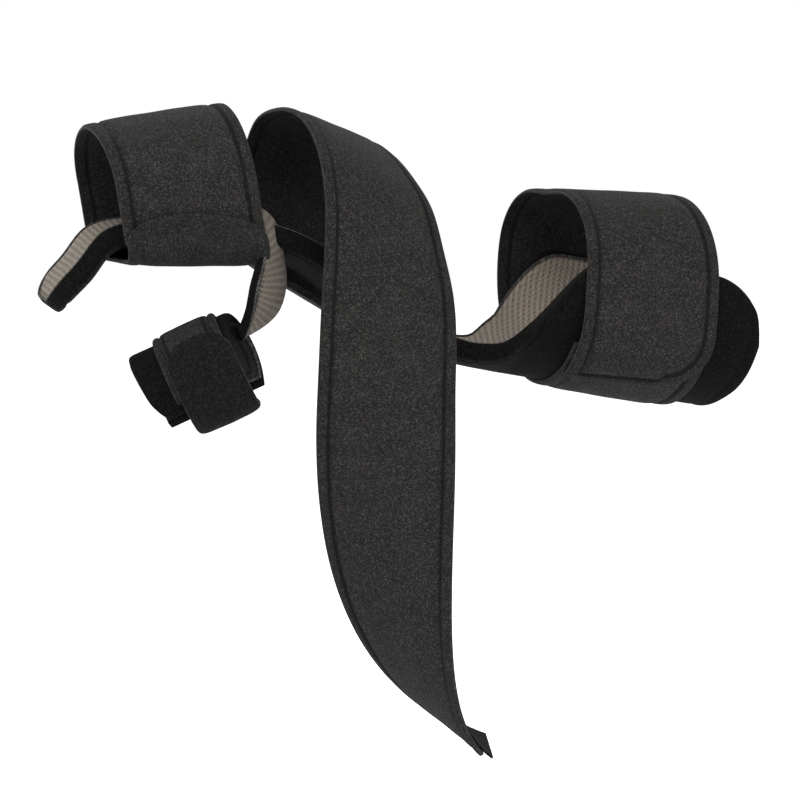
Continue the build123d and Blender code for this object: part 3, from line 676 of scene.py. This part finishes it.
def make_sheet():
    def grid(inset):
        s, a, edge, cloth = sheet_grid(inset)
        return edge, (s, a), cloth

    def place(spot, depth):
        return sheet_point(*spot, depth)

    inside = ("forearm_liner", "hand_liner", "forearm_foam", "hand_foam")
    outside = ("forearm_cover", "hand_cover", "hand_plate")
    padded_pair(
        ("lining", "cover"), grid, place, LINING_DEPTH, SHEET, SHEET_SEAM,
        (inside, outside), 5, LINING,
    )


# ---- Web and thumb trough -----------------------------------------------------------------------

WEB_LOW = -66.0
WEB_HIGH = 62.0
WEB_LONG = 48.0
WEB_WIDE = 23.0
# The flared ring's radius and place across the hand, at the rim beside the thumb and at the far one.
WEB_NEAR_RADIUS, WEB_FAR_RADIUS = 15.4, 29.5
WEB_NEAR_Y, WEB_FAR_Y = -45.0, -25.0
WEB_NEAR_FLARE = (10.0, -12.0, 56.0)  # widening at both ends, the angle between them and the reach
WEB_CURVE = 1.9


def web_place(spot, depth):
    """The web as part of a flared ring: spot is (angle, place across it from 0 to 1)."""
    angle, k = spot
    flare, middle, reach = WEB_NEAR_FLARE
    near_radius = WEB_NEAR_RADIUS + flare * np.clip((angle - middle) / reach, -1.1, 1.1) ** 2
    near_y = WEB_NEAR_Y + 5.6 * eased((angle - 22) / 28)
    far_y = WEB_FAR_Y - 7.5 * eased((angle - 20) / 30)
    y = far_y + (near_y - far_y) * k
    far_radius = WEB_FAR_RADIUS + 3.5 * eased((angle - 10) / 40) - 3.5 * eased((-20 - angle) / 40)
    radius = far_radius - (far_radius - near_radius) * k ** WEB_CURVE
    slope_r = -(far_radius - near_radius) * WEB_CURVE * np.maximum(k, 0.02) ** (WEB_CURVE - 1)
    slope_y = near_y - far_y
    run = np.hypot(slope_r, slope_y)
    # Into the sheet: towards the ring's middle, and squarely to the flare.
    inward_r = slope_y / run
    inward_y = -slope_r / run
    radius = radius + inward_r * depth
    y = y + inward_y * depth
    turn = np.radians(angle)
    return np.stack([WEB[0] + radius * np.cos(turn), y, WEB[2] + radius * np.sin(turn)], -1)


def web_grid(inset):
    along, across, edge = thumb_web_edges(WEB_LONG, WEB_WIDE, inset, (34, 10))
    angle = WEB_LOW + (WEB_HIGH - WEB_LOW) * along / WEB_LONG
    # Rows of the knit run towards the ring's middle.
    cloth = np.stack([across, along, np.zeros_like(along)], -1)
    return edge, (angle, across / WEB_WIDE), cloth


def thumb_frame():
    """Directions along the thumb's axis, to the far side and up."""
    axis = unit(THUMB_TIP - THUMB_ROOT)
    away = unit(SIDE - axis * axis[1])
    return axis, away, -np.cross(axis, away)


THUMB_AXIS, THUMB_AWAY, THUMB_UP = thumb_frame()
THUMB_LONG = 45.0
THUMB_WIDE = 62.0
THUMB_RIMS = (-33.0, 245.0)  # the angles of the trough's two long rims
THUMB_START = (4.6, 3.5)  # where the root end is along the thumb, and its slant
THUMB_END = (43.2, 1.6, 3.0)  # the same for the mouth, and how far its near corner is cut back


def thumb_point(t, degrees, radius):
    """A point round the thumb's axis: 0 is the near side, 90 on top, 180 the far side."""
    turn = np.radians(degrees)[..., None]
    ring = -THUMB_AWAY * np.cos(turn) + THUMB_UP * np.sin(turn)
    return THUMB_ROOT + THUMB_AXIS * np.asarray(t)[..., None] + ring * np.asarray(radius)[..., None]


def thumb_place(spot, depth):
    t, degrees = spot
    return thumb_point(t, degrees, THUMB_RADIUS + depth)


def thumb_grid(inset):
    """The thumb trough, open underneath, with a slanted root end and a mouth that leans back."""
    along, across, edge = thumb_web_edges(THUMB_LONG, THUMB_WIDE, inset, (26, 40))
    k = across / THUMB_WIDE
    degrees = THUMB_RIMS[0] + (THUMB_RIMS[1] - THUMB_RIMS[0]) * k
    turn = np.radians(degrees)
    place, slant = THUMB_START
    first = place + slant * np.cos(turn)
    place, slant, cut = THUMB_END
    last = place + slant * np.sin(turn) - cut * np.clip((6.0 - degrees) / 40.0, 0, 1) ** 2
    t = first + (last - first) * along / THUMB_LONG
    cloth = np.stack([across, t, np.zeros_like(t)], -1)
    return edge, (t, degrees), cloth


def make_thumb():
    padded_pair(
        ("web_lining", "web_outside"), web_grid, web_place, THIN_LINING, THIN_SHEET, 0.0,
        (("web_liner", "web_foam"), ("web_cover", "web_plate")), 15, WEB_LINING_SHADED,
    )
    padded_pair(
        ("thumb_lining", "thumb_outside"), thumb_grid, thumb_place, THIN_LINING, THIN_SHEET, 0.0,
        (("thumb_liner", "thumb_foam"), ("thumb_cover",)), 25, THUMB_LINING_SHADED,
    )


# ---- Straps -------------------------------------------------------------------------------------


def finish_strap(obj, held, body, replaced):
    """Hides the CAD parts that a strap replaces and, if it stays still, attaches it to its body."""
    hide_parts(*replaced)
    if body:
        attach(obj, body)


FOREARM_STRAP_U = -15.0
FOREARM_STRAP_SKEW = (0.15, 0.122)  # how its middle shifts along the arm for each mm across and up
FOREARM_SINK = (13, 167, 77)  # the angles where it sinks to the arm from each side, and over how many
FOREARM_DIP = (8.2, 0.135)  # how far it sinks at U = 0, and the change for each mm along


def forearm_place(degrees, radius):
    """Middle points of the forearm strap, which crosses the arm at a slant."""
    turn = np.radians(degrees)
    y = -radius * np.cos(turn)
    w = radius * np.sin(turn)
    u = FOREARM_STRAP_U - FOREARM_STRAP_SKEW[0] * y - FOREARM_STRAP_SKEW[1] * w
    return AXIS * u[..., None] + SIDE * y[..., None] + RISE * w[..., None]


def forearm_out(degrees):
    turn = np.radians(degrees)[..., None]
    return -SIDE * np.cos(turn) + RISE * np.sin(turn)


def over_arm(degrees, u=0.0):
    """The forearm strap's inner radius: on the cover beside the trough, less on top and at the wrist."""
    near, away, over = FOREARM_SINK
    rise = np.minimum(eased((degrees - near) / over), eased((away - degrees) / over))
    return STRAP_START - (FOREARM_DIP[0] - FOREARM_DIP[1] * u) * rise


def flap_radius(degrees, u=0.0):
    """The near flap's inner radius, which climbs over the strap's own start and the hook tab."""
    climb = OVER_HOOK * eased(-(degrees + 2) / 32)
    return np.where(degrees > 0, over_arm(degrees, u), STRAP_START + climb)


CONE_STRETCH = 1.0219  # the slanted strap's width along the arm, over its own


def forearm_run(degrees, radius_of, bend=0.0):
    """Middle points of the forearm strap, with its width direction along the slack cone."""
    half = STRAP_THICK / 2
    side = STRAP_WIDTH / 2 * CONE_STRETCH
    rims = []
    for v in (-side, side):
        turn = degrees + bend * (v / side) * eased((-6 - degrees) / 50)
        first = forearm_place(turn, radius_of(turn, FOREARM_STRAP_U) + half)
        u = first @ AXIS + v
        radius = radius_of(turn, u) + half
        place = forearm_place(turn, radius)
        rims.append(place + AXIS * v)
    across = (rims[1] - rims[0]) / STRAP_WIDTH
    return (rims[0] + rims[1]) / 2, across


WRAP_FROM = 324.0
FLAP_FROM = 26.0  # the angle where the wrap becomes the flap
FLAP_END = -53.0
FLAP_BEND = (14.0, -12.0)
FLAP_BEND_RADIUS = 46.0
FLAP_CORNERS = ((2.5, 2.5), (17.0, 28.0))


def make_forearm_strap():
    degrees = np.linspace(WRAP_FROM, FLAP_FROM, 200)
    centre, across = forearm_run(degrees, over_arm)
    obj, length = strap("forearm_wrap", centre, across, forearm_out(degrees), STRAP_WIDTH, FABRIC, seed=21)
    finish_strap(obj, "stretched", "splint", ["forearm_strap"])
    degrees = np.linspace(FLAP_FROM, FLAP_END, 90)
    centre, across = forearm_run(degrees, flap_radius, bend=4.0)
    obj, length = strap("forearm_flap", centre, across, forearm_out(degrees), STRAP_WIDTH, FABRIC,
                        rounded=FLAP_CORNERS, seed=22)
    finish_strap(obj, "stretched", None, ["forearm_strap_end"])
    radius = np.array([FLAP_BEND_RADIUS])
    start, end = (forearm_place(np.array([angle]), radius)[0] * MM for angle in FLAP_BEND)
    tuple(start)
    tuple(end)
    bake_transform(obj)


FINGER_SIDE = 40.4
FINGER_FLOOR = 13.2
FINGER_SHOULDER = 41.0
FINGER_TOP = 67.4
FINGER_STRAP_X = -187.0
FINGER_START = 18.8  # height of its start, under the tongue
FINGER_LEAN = 0.16  # rise of its crown for each mm along, and shift of its middle for each mm up
FINGER_SKEW = 0.075  # shift of its middle for each mm across
FINGER_STRETCH = 1.01
FINGER_STEP = 1.4
TONGUE_SIDE = FINGER_SIDE + OVER_HOOK
TONGUE_TOP = 30.6
TONGUE_LONG = 46.0
TONGUE_CORNERS = ((26.0, 12.0), (24.0, 10.0))
PAN_ROUND = 10.0  # bend radius under the pan's far rim
TONGUE_ROUND = 7.0  # and under the tongue


def finger_path():
    """Inner face of the finger strap in (y, z), from under the tongue round to the tongue's end."""
    side, floor, shoulder = FINGER_SIDE, FINGER_FLOOR, FINGER_SHOULDER
    crown = FINGER_TOP - shoulder
    points = [(-side, z) for z in np.linspace(FINGER_START, shoulder, 14)]
    for a in np.radians(np.linspace(180, 0, 70)[1:]):
        points.append((side * math.cos(a), shoulder + crown * math.sin(a)))
    turn, low = side - PAN_ROUND, floor + PAN_ROUND
    points += [(side, z) for z in np.linspace(shoulder, low, 12)[1:]]
    for a in np.radians(np.linspace(0, -90, 14)[1:]):
        points.append((turn + PAN_ROUND * math.cos(a), low + PAN_ROUND * math.sin(a)))
    under, low = -TONGUE_SIDE + TONGUE_ROUND, floor + TONGUE_ROUND
    points += [(y, floor) for y in np.linspace(turn, under, 34)[1:]]
    for a in np.radians(np.linspace(-90, -180, 12)[1:]):
        points.append((under + TONGUE_ROUND * math.cos(a), low + TONGUE_ROUND * math.sin(a)))
    points += [(-TONGUE_SIDE, z) for z in np.linspace(low, TONGUE_TOP, 12)[1:]]
    return np.array(points)


def resampled(points, step):
    """The same path in even steps."""
    run = np.concatenate([[0], np.cumsum(np.linalg.norm(np.diff(points, axis=0), axis=1))])
    keep = np.concatenate([[True], np.diff(run) > 1e-6])
    points, run = points[keep], run[keep]
    at = np.linspace(0, run[-1], int(run[-1] / step) + 1)
    return np.stack([np.interp(at, run, points[:, k]) for k in range(points.shape[1])], -1)


def finger_points(path):
    """Middle points, width and outward directions of the finger strap, a cone that rises to the elbow."""
    along = unit(np.gradient(path, axis=0))
    # The path runs over the top from the near side, so its outward side is on its left.
    out2 = np.stack([-along[:, 1], along[:, 0]], -1)
    mid = path + out2 * STRAP_THICK / 2
    x = FINGER_STRAP_X - FINGER_SKEW * mid[:, 0] - FINGER_LEAN * (mid[:, 1] - FINGER_START)
    lift = np.clip((mid[:, 1] - FINGER_SHOULDER) / (FINGER_TOP - FINGER_SHOULDER), 0, 1) * FINGER_LEAN
    centre = np.stack([x, mid[:, 0], mid[:, 1] + lift * (x - FINGER_STRAP_X)], -1)
    out = np.stack([np.zeros(len(x)), out2[:, 0], out2[:, 1]], -1)
    across = np.stack([np.full(len(x), FINGER_STRETCH), np.zeros(len(x)), FINGER_STRETCH * lift], -1)
    return centre, across, out


def make_finger_strap():
    path = resampled(finger_path(), FINGER_STEP)
    centre, across, out = finger_points(path)
    split = len(path) - int(TONGUE_LONG / FINGER_STEP)
    wrap, tongue = slice(0, split + 1), slice(split, None)
    obj, length = strap("finger_wrap", centre[wrap], across[wrap], out[wrap], STRAP_WIDTH, FABRIC, seed=31)
    finish_strap(obj, "stretched", "splint", ["finger_strap"])
    obj, length = strap("finger_tongue_end", centre[tongue], across[tongue], out[tongue], STRAP_WIDTH,
                        TONGUE_FABRIC, rounded=TONGUE_CORNERS, seed=32)
    finish_strap(obj, "stretched", None, ["finger_strap_end"])
    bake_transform(obj)


def thumb_tab_radius(degrees):
    """The thumb tab's inner radius, which climbs over the wrap and the hook tab."""
    return THUMB_WRAP + OVER_HOOK * eased((degrees + 96) / 60)


THUMB_PROFILE = (FINE_FROM, FACE_HEIGHT)
WRAP_STEPS = [0.0, 0.5, 1.4, 2.2, 2.8, 3.6, 4.6]
TAB_STEPS = [0.0, 0.4, 1.0, 2.0, 3.4]
TAB_PROFILE = ([0.0, 0.5, 1.5, 4.0, 13.0], [1.2, 1.9, 2.4, 2.8, 3.0])
THUMB_STRAP_WIDTH = 25.0
THUMB_STRAP_MIDDLE = 9.0 + THUMB_STRAP_WIDTH / 2
THUMB_WRAP_ANGLES = (-14.0, 236.0)
TAB_ANGLES = (-124.0, 46.0)
TAB_CORNERS = ((11.0, 11.0), (11.0, 11.0))
TAB_SHIFT = 2.0  # how far the tab lies off the wrap's middle, towards the root
TAB_HINGE = (21.5, 18.5)  # place along the thumb's axis and radius of the tab's bend
TAB_BEND = (-108.0, -84.0)


def thumb_band(t, degrees, radius):
    """Middle points, width and outward directions of a strap round the thumb."""
    centre = thumb_point(t, degrees, radius + STRAP_THICK / 2)
    on_axis = thumb_point(t, degrees, 0 * degrees)
    out = unit(thumb_point(t, degrees, 0 * degrees + 10) - on_axis)
    return centre, np.broadcast_to(-THUMB_AXIS, centre.shape), out


def make_thumb_strap():
    degrees = np.linspace(*THUMB_WRAP_ANGLES, 100)
    middle = np.full(degrees.shape, THUMB_STRAP_MIDDLE)
    centre, across, out = thumb_band(middle, degrees, THUMB_WRAP + 0 * degrees)
    obj, length = strap("thumb_wrap", centre, across, out, THUMB_STRAP_WIDTH, FABRIC, steps=WRAP_STEPS,
                        profile=THUMB_PROFILE, seed=41)
    finish_strap(obj, "stretched", "splint", ["thumb_strap"])
    degrees = np.linspace(*TAB_ANGLES, 90)
    shift = TAB_SHIFT * eased((degrees + 120) / 40)
    centre, across, out = thumb_band(THUMB_STRAP_MIDDLE - shift, degrees, thumb_tab_radius(degrees))
    obj, length = strap("thumb_tab_end", centre, across, out, THUMB_STRAP_WIDTH,
                        [TAB, STRAP_EDGE, STRAP_BACK], rounded=TAB_CORNERS, steps=TAB_STEPS,
                        profile=TAB_PROFILE, seed=42, ripple=0.5)
    finish_strap(obj, "stretched", None, ["thumb_strap_end"])
    t, radius = (np.array([v]) for v in TAB_HINGE)
    start, end = (thumb_point(t, np.array([angle]), radius)[0] * MM for angle in TAB_BEND)
    tuple(start)
    tuple(end)
    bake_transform(obj)


def tail_place(t):
    """Place and width direction on the hanging tail, from 0 at its top to 1 at its free end."""
    weights = ((1 - t) ** 3, 3 * t * (1 - t) ** 2, 3 * t * t * (1 - t), t ** 3)
    place = sum(w * np.array(p) for w, p in zip(weights, TAIL_LINE))
    turn = math.radians(TAIL_TURN[0] + (TAIL_TURN[1] - TAIL_TURN[0]) * t)
    return place, np.array([math.cos(turn), -math.sin(turn), 0.0])


TAIL_STATIONS = 24
PALM_STEP = 1.6


def palm_samples():
    """The palm strap from its sewn start to its free end: middle points, width and face directions."""
    places = [np.array(p, float) for p, _ in PALM_PATH]
    widths = [unit(np.array(w, float)) for _, w in PALM_PATH]
    for i in range(1, TAIL_STATIONS + 1):
        place, width = tail_place(i / TAIL_STATIONS)
        places.append(place)
        widths.append(width)
    places, widths = np.array(places), np.array(widths)
    run = np.concatenate([[0], np.cumsum(np.linalg.norm(np.diff(places, axis=0), axis=1))])
    at = np.linspace(0, run[-1], int(run[-1] / PALM_STEP) + 1)
    centre = smooth_table(run, places, at)
    across = unit(smooth_table(run, widths, at))
    along = unit(np.gradient(centre, axis=0))
    out = unit(np.cross(along, across))
    return run, at, centre, across, out


PALM_CUTS = (5, 12)  # the stations of PALM_PATH where one piece ends and the next starts
TAIL_CORNERS = ((3.0, 3.0), (3.0, 3.0))


def make_palm_strap():
    run, at, centre, across, out = palm_samples()
    cut_a, cut_b = (int(np.argmin(np.abs(at - run[station]))) for station in PALM_CUTS)
    pieces = (
        ("palm_strap_root", 0, cut_a, None, ["palm_strap_anchor"], "stretched"),
        ("palm_strap_top", cut_a, cut_b, None, ["palm_strap_over", "palm_strap_upper"], "draped"),
        ("palm_strap_tail", cut_b, len(at) - 1, TAIL_CORNERS, ["palm_strap_lower"], "hung"),
    )
    made = []
    for name, first, last, rounded, replaced, held in pieces:
        part = slice(first, last + 1)
        obj, length = strap(name, centre[part], across[part], out[part], STRAP_WIDTH, FABRIC,
                            rounded=rounded, seed=51)
        finish_strap(obj, held, None, replaced)
        made.append(obj)
    joints = {j["name"]: np.array(j["pos_m"]) for j in frame["record"]["behaviour"]["joints"]}

    def across_joint(obj, joint, reach):
        middle = joints[joint] / MM
        i = int(np.argmin(np.linalg.norm(centre - middle, axis=1)))
        ahead = unit(centre[min(i + 4, len(centre) - 1)] - centre[i - 4]) * reach
        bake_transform(obj)

    across_joint(made[0], "palm_strap_lift", 7.0)
    across_joint(made[1], "palm_tail_swing", 16.0)
    across_joint(made[2], "palm_end_swing", 24.0)


# ---- CAD nodes that stay ------------------------------------------------------------------------


def paint_nodes():
    slots = {"hook": HOOK, "frame": METAL}
    for part in frame["record"]["subparts"]:
        finish = slots.get(part["material_slot"])
        if finish:
            for holder in frame["nodes"][part["node"]].material_slots:
                holder.material = finish


# ---- Camera, light and floor --------------------------------------------------------------------

CAMERA_PLACE = (-0.32256, -1.0558, 0.05044)
CAMERA_AZIMUTH = -12.0
CAMERA_ELEVATION = 5.0
LENS = 123.75
FLOOR_Z = -0.32
FLOOR_HALF = 6.0


def make_camera():
    data = bpy.data.cameras.new("camera")
    data.lens = LENS
    data.sensor_width = 36.0
    data.clip_start = 0.05
    obj = bpy.data.objects.new("camera", data)
    bpy.context.scene.collection.objects.link(obj)
    a, e = math.radians(CAMERA_AZIMUTH), math.radians(CAMERA_ELEVATION)
    back = Vector((math.sin(a) * math.cos(e), -math.cos(a) * math.cos(e), math.sin(e)))
    right = Vector((math.cos(a), math.sin(a), 0))
    up = back.cross(right)
    obj.matrix_world = Matrix.Translation(CAMERA_PLACE) @ Matrix((right, up, back)).transposed().to_4x4()
    bpy.context.scene.camera = obj


def area_light(name, place, aim, size, power):
    data = bpy.data.lights.new(name, "AREA")
    data.shape = "RECTANGLE"
    data.size, data.size_y = size
    data.energy = power
    obj = bpy.data.objects.new(name, data)
    bpy.context.scene.collection.objects.link(obj)
    obj.location = place
    obj.rotation_euler = (Vector(aim) - Vector(place)).to_track_quat("-Z", "Y").to_euler()


def make_studio():
    world = bpy.data.worlds.new("studio")
    world.use_nodes = True
    world.node_tree.nodes["Background"].inputs["Color"].default_value = (1, 1, 1, 1)
    world.node_tree.nodes["Background"].inputs["Strength"].default_value = 1.0
    bpy.context.scene.world = world
    bpy.context.scene.view_settings.view_transform = "Standard"
    aim = (-0.10, 0.0, 0.0)
    area_light("key", (-0.55, -0.9, 1.1), aim, (0.9, 0.9), 20.0)
    area_light("fill", (0.9, -1.0, 0.45), aim, (0.8, 0.8), 6.0)
    area_light("rim", (0.1, 1.2, 0.9), aim, (1.0, 0.6), 10.0)
    h = FLOOR_HALF
    verts = [(x, y, FLOOR_Z) for x, y in ((-h, -h), (h, -h), (h, h), (-h, h))]
    mesh = bpy.data.meshes.new("floor")
    mesh.from_pydata(verts, [], [(0, 1, 2, 3)])
    floor = bpy.data.objects.new("floor", mesh)
    bpy.context.scene.collection.objects.link(floor)
    pale = bpy.data.materials.new("pale_floor")
    pale.use_nodes = True
    shader = pale.node_tree.nodes["Principled BSDF"]
    shader.inputs["Base Color"].default_value = (0.93, 0.93, 0.93, 1)
    shader.inputs["Roughness"].default_value = 0.9
    shader.inputs["Emission Color"].default_value = (1, 1, 1, 1)
    shader.inputs["Emission Strength"].default_value = 0.3
    mesh.materials.append(pale)


make_camera()
make_studio()
make_sheet()
make_thumb()
make_forearm_strap()
make_finger_strap()
make_thumb_strap()
make_palm_strap()
paint_nodes()
